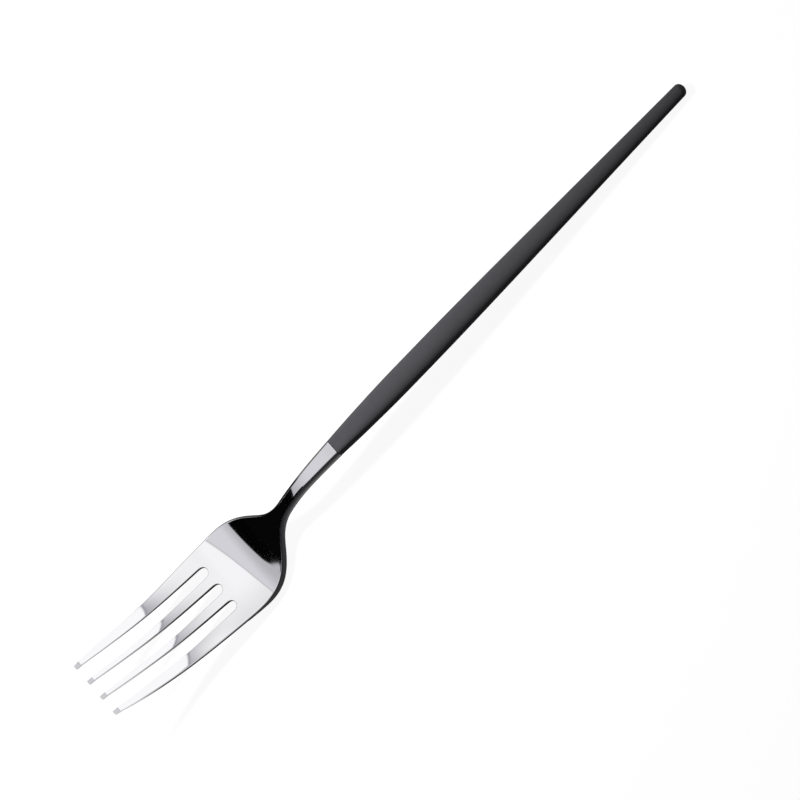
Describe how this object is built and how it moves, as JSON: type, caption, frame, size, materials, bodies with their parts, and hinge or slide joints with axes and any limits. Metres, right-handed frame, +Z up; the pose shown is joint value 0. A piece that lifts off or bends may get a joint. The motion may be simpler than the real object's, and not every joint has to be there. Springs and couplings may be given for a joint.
{
  "type": "dinner fork",
  "caption": "Slim dinner fork: a mirror-polished steel head with tapered tines, dished bowl and narrow neck, set flush into a long matte black handle with a rounded end.",
  "frame": {"origin": "on the table that the fork lies on, under the middle of its length and width", "axes": "+X from the tine tips to the end of the handle, +Y across the tines, +Z up, the way the tines curve"},
  "size_m": [0.2096, 0.0246, 0.0158],
  "materials": {
    "polished_steel": "polished",
    "black_resin": "matte",
    "cured_epoxy": "satin"
  },
  "bodies": {
    "root": {"fork_head": "polished_steel", "handle": "black_resin", "tang_cement": "cured_epoxy"}
  },
  "joints": []
}
